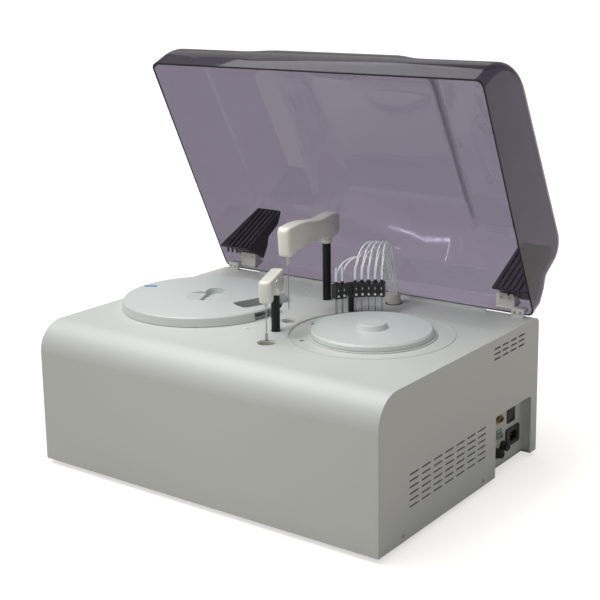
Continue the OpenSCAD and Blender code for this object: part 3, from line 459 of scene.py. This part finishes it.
FINISH = {
    "housing_white": moulded("Housing paint", (0.585, 0.60, 0.58), rough=0.40, spread=0.018, grain=1300.0,
        depth=0.03, dust=0.04),
    "cover_white": moulded("Cover plastic", (0.60, 0.635, 0.62), rough=0.33, spread=0.015, grain=1700.0,
        depth=0.015, dust=0.04, patch=14.0),
    "bare_steel": metal("Zinc plated sheet", (0.55, 0.56, 0.58), rough=0.42, mottle=0.12),
    "rubber": moulded("Foot rubber", (0.02, 0.02, 0.02), rough=0.75, grain=900.0, depth=0.05, dust=0.25),
    "screw_steel": metal("Screw steel", (0.52, 0.51, 0.5), rough=0.3, along=(300.0, 300.0, 300.0)),
    "well_cream": moulded("Well plastic", (0.62, 0.60, 0.53), rough=0.45, grain=1200.0),
    "black_plastic": moulded("Black moulding", (0.012, 0.012, 0.014), rough=0.42, spread=0.2, grain=1100.0,
        depth=0.03, dust=0.03, scratch=0.05),
    "rod_steel": metal("Polished needle steel", (0.40, 0.40, 0.40), rough=0.22, along=(700.0, 700.0, 8.0),
        spread=0.08),
    "leaf_white": moulded("Hinge leaf plastic", (0.72, 0.71, 0.68), rough=0.35, grain=1500.0),
    "port_gold": metal("Gilt connector shell", (0.42, 0.30, 0.14), rough=0.34, mottle=0.15),
    "port_green": moulded("Connector moulding", (0.36, 0.43, 0.37), rough=0.4, spread=0.06),
    "smoked": smoked_sheet("Smoked lid acrylic", (0.192, 0.172, 0.226), (0.012, 0.008, 0.018)),
    "tray_grey": moulded("Tray plastic", (0.14, 0.145, 0.15), rough=0.5, spread=0.06, dust=0.1),
    "bottle_white": moulded("Bottle plastic", (0.66, 0.67, 0.66), rough=0.35, spread=0.04),
    "bottle_cream": moulded("Cream bottle plastic", (0.58, 0.5, 0.33), rough=0.36, spread=0.05),
    "clear_cell": clear_cell("Cuvette plastic", (0.8, 0.86, 0.88)),
    "column_black": metal("Black anodised tube", (0.018, 0.018, 0.02), rough=0.34, along=(500.0, 500.0,
        20.0), metallic=0.6, mottle=0.2),
    "arm_cream": moulded("Arm plastic", (0.80, 0.785, 0.72), rough=0.24, spread=0.02, grain=1600.0,
        depth=0.015, coat=0.25),
    "white_plastic": moulded("White fitting", (0.68, 0.68, 0.65), rough=0.32, spread=0.03),
    "tube_white": moulded("Milky tubing", (0.93, 0.95, 0.985), rough=0.22, spread=0.05, grain=700.0,
        coat=0.4, rounding=0.0),
}
WHITE_DOT = moulded("White screw plug", (0.72, 0.72, 0.70), rough=0.35, spread=0.05)
MARK_BLUE = moulded("Blue position mark", (0.05, 0.22, 0.50), rough=0.35, spread=0.08, scratch=0.08)
SLEEVE = moulded("Soft tube sleeve", (0.72, 0.80, 0.86), rough=0.3, spread=0.06, grain=500.0, coat=0.3,
    rounding=0.0)
BRACKET_BLACK = moulded("Bracket plastic", (0.014, 0.011, 0.018), rough=0.3, spread=0.25, grain=900.0,
    depth=0.03, dust=0.03, coat=0.15)


def dress(obj, slot_name, material=None):
    obj.data.materials.clear()
    obj.data.materials.append(material or FINISH[slot_name])
    return obj


for part in frame["record"]["subparts"]:
    thing = nodes[part["node"]]
    finish = FINISH[part["material_slot"]]
    if thing.material_slots:
        for socket in thing.material_slots:
            socket.material = finish
    else:
        thing.data.materials.append(finish)


# ---------------------------------------------------------------- smoked lid


def fillet(a, p, b, r, n):
    """Points of the round of a corner in a path, each with the outward normal."""
    a, p, b = Vector(a), Vector(p), Vector(b)
    u = (p - a).normalized()
    v = (b - p).normalized()
    side = 1 if u.x * v.y - u.y * v.x > 0 else -1
    half = acos(max(-1, min(1, u.dot(v)))) / 2
    centre = p - u * r * tan(half) + side * r * Vector((-u.y, u.x))
    start = atan2(-side * u.x, side * u.y)
    out = []
    for i in range(n + 1):
        t = start + side * 2 * half * i / n
        d = Vector((cos(t), sin(t)))
        out.append((centre + r * d, side * d))
    return out


# lid section: depth, height, radius and steps of each corner, from the front rim to the rear one
SIDE_PATH = [(LID_LEN, 124, 100, 24), (43, 152, 44, 16), (33, 74, 10, 8), (18, 62, 16, 6), (0, 36, 16, 6)]
MIDDLE_PATH = [(LID_LEN, 170.5, 160, 24), (82, 200, 24, 16)] + SIDE_PATH[2:]


def lid_section(path):
    first, last = (LID_LEN, 0), (0, 4)
    points = [first] + [(p[0], p[1]) for p in path] + [last]
    out = [(Vector(first), Vector((1, 0)))]
    for i, p in enumerate(path):
        out += fillet(points[i], points[i + 1], points[i + 2], p[2], p[3])
    out.append((Vector(last), Vector((-1, 0))))
    return out


def raised_share(x):
    t = max(0.0, min(1.0, (FLANK_OUT - abs(x)) / (FLANK_OUT - FLANK_IN)))
    return t * t * (3 - 2 * t)


def lid_ring(x, inset, side_points, middle_points):
    b = raised_share(x)
    ring = []
    for (ps, ns), (pm, nm) in zip(side_points, middle_points):
        n = (ns * (1 - b) + nm * b).normalized()
        p = ps * (1 - b) + pm * b - inset * n
        ring.append((x, LID_REAR - p.x, DECK + LID_GAP + max(0.0, p.y)))
    return ring


def build_lid():
    side_points, middle_points = lid_section(SIDE_PATH), lid_section(MIDDLE_PATH)

    def stations(half, r, off):
        out = []
        for i in range(LID_FILLET_STEPS + 1):
            a = radians(90 * i / LID_FILLET_STEPS)
            out.append((-half + r * (1 - cos(a)), off + r * (1 - sin(a))))
        steps = list(range(-FLANK_OUT, -FLANK_IN + 1, FLANK_STEP))
        out += [(-260.0, off)]
        out += [(x, off) for x in steps]
        out += [(-60.0, off), (0.0, off), (60.0, off)]
        out += [(-x, off) for x in reversed(steps)]
        out += [(260.0, off)]
        for i in range(LID_FILLET_STEPS, -1, -1):
            a = radians(90 * i / LID_FILLET_STEPS)
            out.append((half - r * (1 - cos(a)), off + r * (1 - sin(a))))
        return out

    outer = stations(LID_HALF - LID_SKIN_INSET, LID_FILLET - LID_SKIN_INSET, LID_SKIN_INSET)
    inner = stations(LID_HALF - LID_WALL, LID_FILLET - LID_WALL, LID_WALL)
    verts = []
    for x, inset in outer + inner:
        verts += lid_ring(x, inset, side_points, middle_points)
    n, m = len(side_points), len(outer)
    base = m * n
    faces = []
    for j in range(m - 1):
        for k in range(n - 1):
            a = j * n + k
            faces.append((a, a + 1, a + 1 + n, a + n))
            faces.append((base + a, base + a + n, base + a + 1 + n, base + a + 1))
        a = j * n
        faces.append((a, a + n, base + a + n, base + a))
        a += n - 1
        faces.append((a, base + a, base + a + n, a + n))
    last = (m - 1) * n
    faces.append(tuple(range(n)))
    faces.append(tuple(last + k for k in reversed(range(n))))
    faces.append(tuple(base + k for k in reversed(range(n))))
    faces.append(tuple(base + last + k for k in range(n)))
    faces.append((0, base, base + n - 1, n - 1))
    faces.append((last, last + n - 1, base + last + n - 1, base + last))
    lid = mesh_from("smoked_lid", verts, faces, True, 40.0)
    lid.data.transform(lid_pose_matrix())
    dress(lid, "smoked")
    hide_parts("lid_shell")
    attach(lid, "lid")
    return lid


# ---------------------------------------------------------------------- arms


def arc(cx, cy, r, a0, a1, n):
    turns = [radians(a0 + (a1 - a0) * i / n) for i in range(n + 1)]
    return [(cx + r * cos(a), cy + r * sin(a)) for a in turns]


def arm_body(name, outline, width, nose_round, crown, column, aim):
    """An arm housing: its side view swept over the width, drawn in at the nose and crowned on top."""
    rows = []
    steps = 14
    right = max(p[0] for p in outline)
    for j in range(steps + 1):
        t = -1 + 2 * j / steps
        y = width / 2 * t
        inset = crown * (1 - (1 - abs(t) ** 3.2) ** (1 / 3.2))
        pull = nose_round * (1 - (1 - abs(t) ** 2.2) ** (1 / 2.2))
        rows.append((y, inset, pull))
    verts = []
    for y, inset, pull in rows:
        for i, (x, z) in enumerate(outline):
            a, b = outline[i - 1], outline[(i + 1) % len(outline)]
            d = Vector((b[0] - a[0], b[1] - a[1]))
            nx, nz = (d.y, -d.x) if d.length == 0 else (d.y / d.length, -d.x / d.length)
            nose = max(0.0, min(1.0, (x - (right - 26)) / 26))
            verts.append((x - nx * inset - pull * nose * nose, y, z - nz * inset))
    n = len(outline)
    faces = []
    for j in range(steps):
        for k in range(n):
            k2 = (k + 1) % n
            faces.append((j * n + k, j * n + k2, (j + 1) * n + k2, (j + 1) * n + k))
    faces.append(tuple(range(n)))
    faces.append(tuple(steps * n + k for k in reversed(range(n))))
    obj = mesh_from(name, verts, faces, True, 50.0)
    place(obj, (column[0], column[1], DECK), (0, 0, aim))
    return obj


def build_arms():
    nose = PROBE_REACH + 19
    outline = [(-14, 116), (14, 116), (19, 118), (24, 122.5), (80, 122.5)]
    outline += [(PROBE_REACH - 22, 122.5), (PROBE_REACH - 14, 120), (PROBE_REACH - 7, 116)]
    outline += arc(PROBE_REACH + 10, 123, 7, -90, -10, 6)
    outline += arc(nose - 8, 158, 10.5, 0, 90, 10)
    outline += [(132, 169.6), (100, 168), (70, 163), (44, 160.5), (16, 162), (-4, 162.6)]
    outline += arc(-20, 150, 12, 90, 170, 8)
    outline += [(-32.4, 140), (-32.4, 130)] + arc(-25, 128, 7, 200, 255, 4)
    arm = arm_body("probe_arm_cover", outline, 25.0, 8.0, 3.2, PROBE, PROBE_AIM)
    dress(arm, "arm_cream")
    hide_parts("probe_arm")
    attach(arm, "probe")
    nose = MIXER_REACH + 11
    outline = [(-10, 64), (9, 64), (18, 70), (26, 77), (MIXER_REACH - 16, 80)]
    outline += [(MIXER_REACH - 12, 74), (MIXER_REACH - 10, 70), (MIXER_REACH - 5, 67)]
    outline += arc(MIXER_REACH + 3, 72, 5, -90, -20, 5)
    outline += [(nose, 92)] + arc(nose - 6, 99, 6, 0, 90, 8)
    outline += [(30, 104.8), (-8, 104.5)] + arc(-17, 99, 5.5, 90, 180, 7) + [(-21, 80), (-19, 74), (-16, 70)]
    arm = arm_body("mixer_arm_cover", outline, 22.0, 6.0, 2.6, MIXER, MIXER_AIM)
    dress(arm, "arm_cream")
    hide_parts("mixer_arm")
    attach(arm, "mixer")


# --------------------------------------------------------------- wash tubes


def bezier(p, t):
    return p[0] * (1 - t) ** 3 + 3 * p[1] * t * (1 - t) ** 2 + 3 * p[2] * t * t * (1 - t) + p[3] * t ** 3


def tube_mesh(name, points, radius, sides=12):
    """A round tube along points in millimetres, with a frame that doesn't twist."""
    verts, faces = [], []
    normal = None
    n = len(points)
    for i, p in enumerate(points):
        tangent = (points[min(i + 1, n - 1)] - points[max(i - 1, 0)]).normalized()
        if normal is None:
            normal = tangent.orthogonal().normalized()
        normal = (normal - tangent * normal.dot(tangent)).normalized()
        other = tangent.cross(normal)
        for j in range(sides):
            a = 2 * pi * j / sides
            verts.append(tuple(p + radius * (cos(a) * normal + sin(a) * other)))
    for i in range(n - 1):
        for j in range(sides):
            k = (j + 1) % sides
            faces.append((i * sides + j, i * sides + k, (i + 1) * sides + k, (i + 1) * sides + j))
    faces.append(tuple(range(sides)))
    faces.append(tuple((n - 1) * sides + j for j in reversed(range(sides))))
    return mesh_from(name, verts, faces, True, 60.0)


def head_at(k, radius=RING_R, height=WASH_TOP + 5):
    a = radians(WASH_START - WASH_STEP * k)
    return Vector((REACTION[0] + radius * cos(a), REACTION[1] + radius * sin(a), DECK + height))


def tapered_tube(name, points, radii, sides=12):
    """A tube whose radius changes from point to point."""
    obj = tube_mesh(name, points, 1.0, sides)
    for i, p in enumerate(points):
        for j in range(sides):
            vertex = obj.data.vertices[i * sides + j]
            vertex.co = p * MM + (vertex.co - p * MM) * radii[i]
    return obj


def build_tubes():
    """Each head has a thin capillary in a soft sleeve; the five drain heads carry a second one."""
    for i, k in enumerate(WASH_SLOTS):
        p0 = head_at(k)
        p3 = Vector((BOSS[0] + 2.2 * (i - 3), BOSS[1] + (-2.2 if i % 2 == 0 else 2.2), DECK + 17.3))
        rise, over = (66, 84) if k < 2 else (92, 130)
        path = [p0, p0 + Vector((0, 0, rise)), p3 + Vector((-4, -6, over)), p3]
        tube = tube_mesh("wash_tube_%d" % (i + 1), [bezier(path, t / 48) for t in range(49)], 1.3)
        dress(tube, "tube_white")
        if i == 0:
            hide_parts("wash_tubes")
        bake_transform(tube)
        if k >= 2:
            q0 = p0 + Vector((1.1, -0.9, 0))
            q3 = p3 + Vector((1.0, -1.0 if i % 2 else 1.0, 0))
            path = [q0, q0 + Vector((5 - 2 * i % 5, -3, rise - 12)), q3 + Vector((-9, -2, over - 16)), q3]
            second = tube_mesh("drain_tube_%d" % (i + 1), [bezier(path, t / 48) for t in range(49)], 1.05)
            dress(second, "tube_white")
            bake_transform(second)
        sleeve_path = [p0 + Vector((0, 0, -1.5 + 2.4 * t)) for t in range(12)]
        radii = [2.2, 2.35, 2.4, 2.4, 2.35, 2.35, 2.3, 2.2, 2.05, 1.85, 1.65, 1.45]
        sleeve = tapered_tube("tube_sleeve_%d" % (i + 1), sleeve_path, radii)
        dress(sleeve, "tube_white", SLEEVE)
        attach(sleeve, "wash_head")


# ------------------------------------------------------------- small fittings


def on_lid(obj):
    obj.data.transform(lid_pose_matrix())
    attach(obj, "lid")
    return obj


def build_hooks():
    """Three short prongs under each corner bracket."""
    for side, word in ((-1, "left"), (1, "right")):
        prongs = []
        for x in (327.0, 316.0, 304.5):
            prong = block("prong", (3.2, 12.0, 3.4), 0.7)
            place(prong, (side * x, LID_REAR - 46.5, DECK + LID_GAP + 4.6), (-25.0, 0, 0))
            prongs.append(prong)
        hooks = join("bracket_prongs_%s" % word, prongs)
        shade(hooks)
        dress(hooks, "black_plastic", BRACKET_BLACK)
        on_lid(hooks)


def build_position_mark():
    """The plain blue mark at the edge of the reagent cover."""
    top = DECK + 0.4 + 17.0
    outline = [(-335, -9), (-329, -16), (-309, -3), (-315, 5)]
    verts = [(x, y, top) for x, y in outline] + [(x, y, top + 0.25) for x, y in outline]
    faces = [(0, 1, 2, 3), (4, 5, 6, 7), (0, 1, 5, 4), (1, 2, 6, 5), (2, 3, 7, 6), (3, 0, 4, 7)]
    mark = mesh_from("cover_position_mark", verts, faces, False)
    dress(mark, "cover_white", MARK_BLUE)
    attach(mark, "tray_lid")


def build_head_ticks():
    """White ticks over the screws on the inward faces of the wash heads."""
    ticks = []
    for k in WASH_SLOTS:
        tick = block("tick", (0.4, 1.3, 3.6), 0.15, 1)
        a = WASH_START - WASH_STEP * k
        spot = head_at(k, RING_R - 8.1, 33 + 15.5)
        place(tick, tuple(spot), (0, 0, a))
        ticks.append(tick)
    obj = join("head_ticks", ticks)
    dress(obj, "white_plastic", WHITE_DOT)
    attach(obj, "wash_head")


def finish_brackets():
    for name in ("bracket_left", "bracket_right"):
        for socket in nodes[name].material_slots:
            socket.material = BRACKET_BLACK


build_lid()
build_arms()
build_tubes()
build_hooks()
build_position_mark()
build_head_ticks()
finish_brackets()


# ------------------------------------------------------ stage, light, camera


def build_stage():
    size = 40.0  # metres
    mesh = bpy.data.meshes.new("studio_floor")
    mesh.from_pydata([(-size, -size, 0), (size, -size, 0), (size, size, 0), (-size, size, 0)], [], [(0, 1, 2, 3)])
    floor = new_object("studio_floor", mesh)
    material, tree, shader = start_material("Studio paper")
    tint = use(tree, MOTTLE, Colour=(0.56, 0.535, 0.50, 1), Patch_scale=0.4, Spread=0.004)
    tree.links.new(tint.outputs["Colour"], shader.inputs["Base Color"])
    shader.inputs["Roughness"].default_value = 0.9
    shader.inputs["Specular IOR Level"].default_value = 0.0
    shader.inputs["Emission Color"].default_value = (1.0, 1.0, 1.0, 1)
    path = add(tree, "ShaderNodeLightPath")
    seen = math_node(tree, "MAXIMUM", path.outputs["Is Camera Ray"], path.outputs["Is Transmission Ray"])
    tree.links.new(math_node(tree, "MULTIPLY", seen, 0.62), shader.inputs["Emission Strength"])
    mesh.materials.append(material)
    world = bpy.data.worlds.new("studio")
    bpy.context.scene.world = world
    world.use_nodes = True
    back = world.node_tree.nodes["Background"]
    back.inputs["Color"].default_value = (1.0, 1.0, 1.0, 1)
    back.inputs["Strength"].default_value = 0.30
    sky_panel((-0.28, -0.12, 0.95), 60.0, 2.25)
    soft_light("strip_light", (-0.73, -0.354, 2.4), (-0.73, -0.354, 0), (1.21, 0.016), 5.0)
    soft_light("rear_panel_light", (-1.4, 0.93, 2.55), (0, 0.05, 0.69), (1.5, 1.0), 5.0)
    soft_light("high_panel_light", (-1.42, 1.77, 1.83), (0.03, 0.09, 0.70), (1.5, 0.8), 1.0)
    front_spot("front_spot", (-0.35, -1.35, 2.0), (0.03, 0.19, 0.26), 26.0, 60.0)


def aimed_lamp(name, data, at, back):
    """A lamp at its place, shining against the direction that is given as its back."""
    lamp = bpy.data.objects.new(name, data)
    bpy.context.scene.collection.objects.link(lamp)
    lamp.location = at
    lamp.rotation_euler = back.to_track_quat("Z", "Y").to_euler()
    return lamp


def sky_panel(direction, spread, strength):
    """A very soft far light over the set, as from a large ceiling panel."""
    data = bpy.data.lights.new("ceiling_panel", "SUN")
    data.energy = strength
    data.angle = radians(spread)
    return aimed_lamp("ceiling_panel", data, (0, 0, 0), Vector(direction))


def soft_light(name, at, target, size, power):
    """A rectangular panel light, places and sizes in metres."""
    data = bpy.data.lights.new(name, "AREA")
    data.shape = "RECTANGLE"
    data.size = size[0]
    data.size_y = size[1]
    data.energy = power
    return aimed_lamp(name, data, at, Vector(at) - Vector(target))


def front_spot(name, at, target, spread, power):
    """A soft narrow light from the front, which reaches under the lid."""
    data = bpy.data.lights.new(name, "SPOT")
    data.spot_size = radians(spread)
    data.spot_blend = 1.0
    data.shadow_soft_size = 0.22
    data.energy = power
    return aimed_lamp(name, data, at, Vector(at) - Vector(target))


def build_camera():
    azimuth, elevation, roll = radians(35.24), radians(12.47), radians(-0.54)
    back = Vector((sin(azimuth) * cos(elevation), -cos(azimuth) * cos(elevation), sin(elevation)))
    level = Vector((cos(azimuth), sin(azimuth), 0))
    up = back.cross(level)
    right = level * cos(roll) + up * sin(roll)
    top = up * cos(roll) - level * sin(roll)
    data = bpy.data.cameras.new("photo_view")
    data.sensor_width = 36.0
    data.lens = 75.76
    data.shift_x = -0.05
    data.shift_y = -0.10
    data.clip_end = 200.0
    camera = bpy.data.objects.new("photo_view", data)
    bpy.context.scene.collection.objects.link(camera)
    camera.matrix_world = Matrix((
        (right.x, top.x, back.x, 1.2781),
        (right.y, top.y, back.y, -1.6868),
        (right.z, top.z, back.z, 0.8645),
        (0, 0, 0, 1)))
    bpy.context.scene.camera = camera


build_stage()
build_camera()
bpy.context.scene.view_settings.view_transform = "Standard"

bpy.context.view_layer.update()
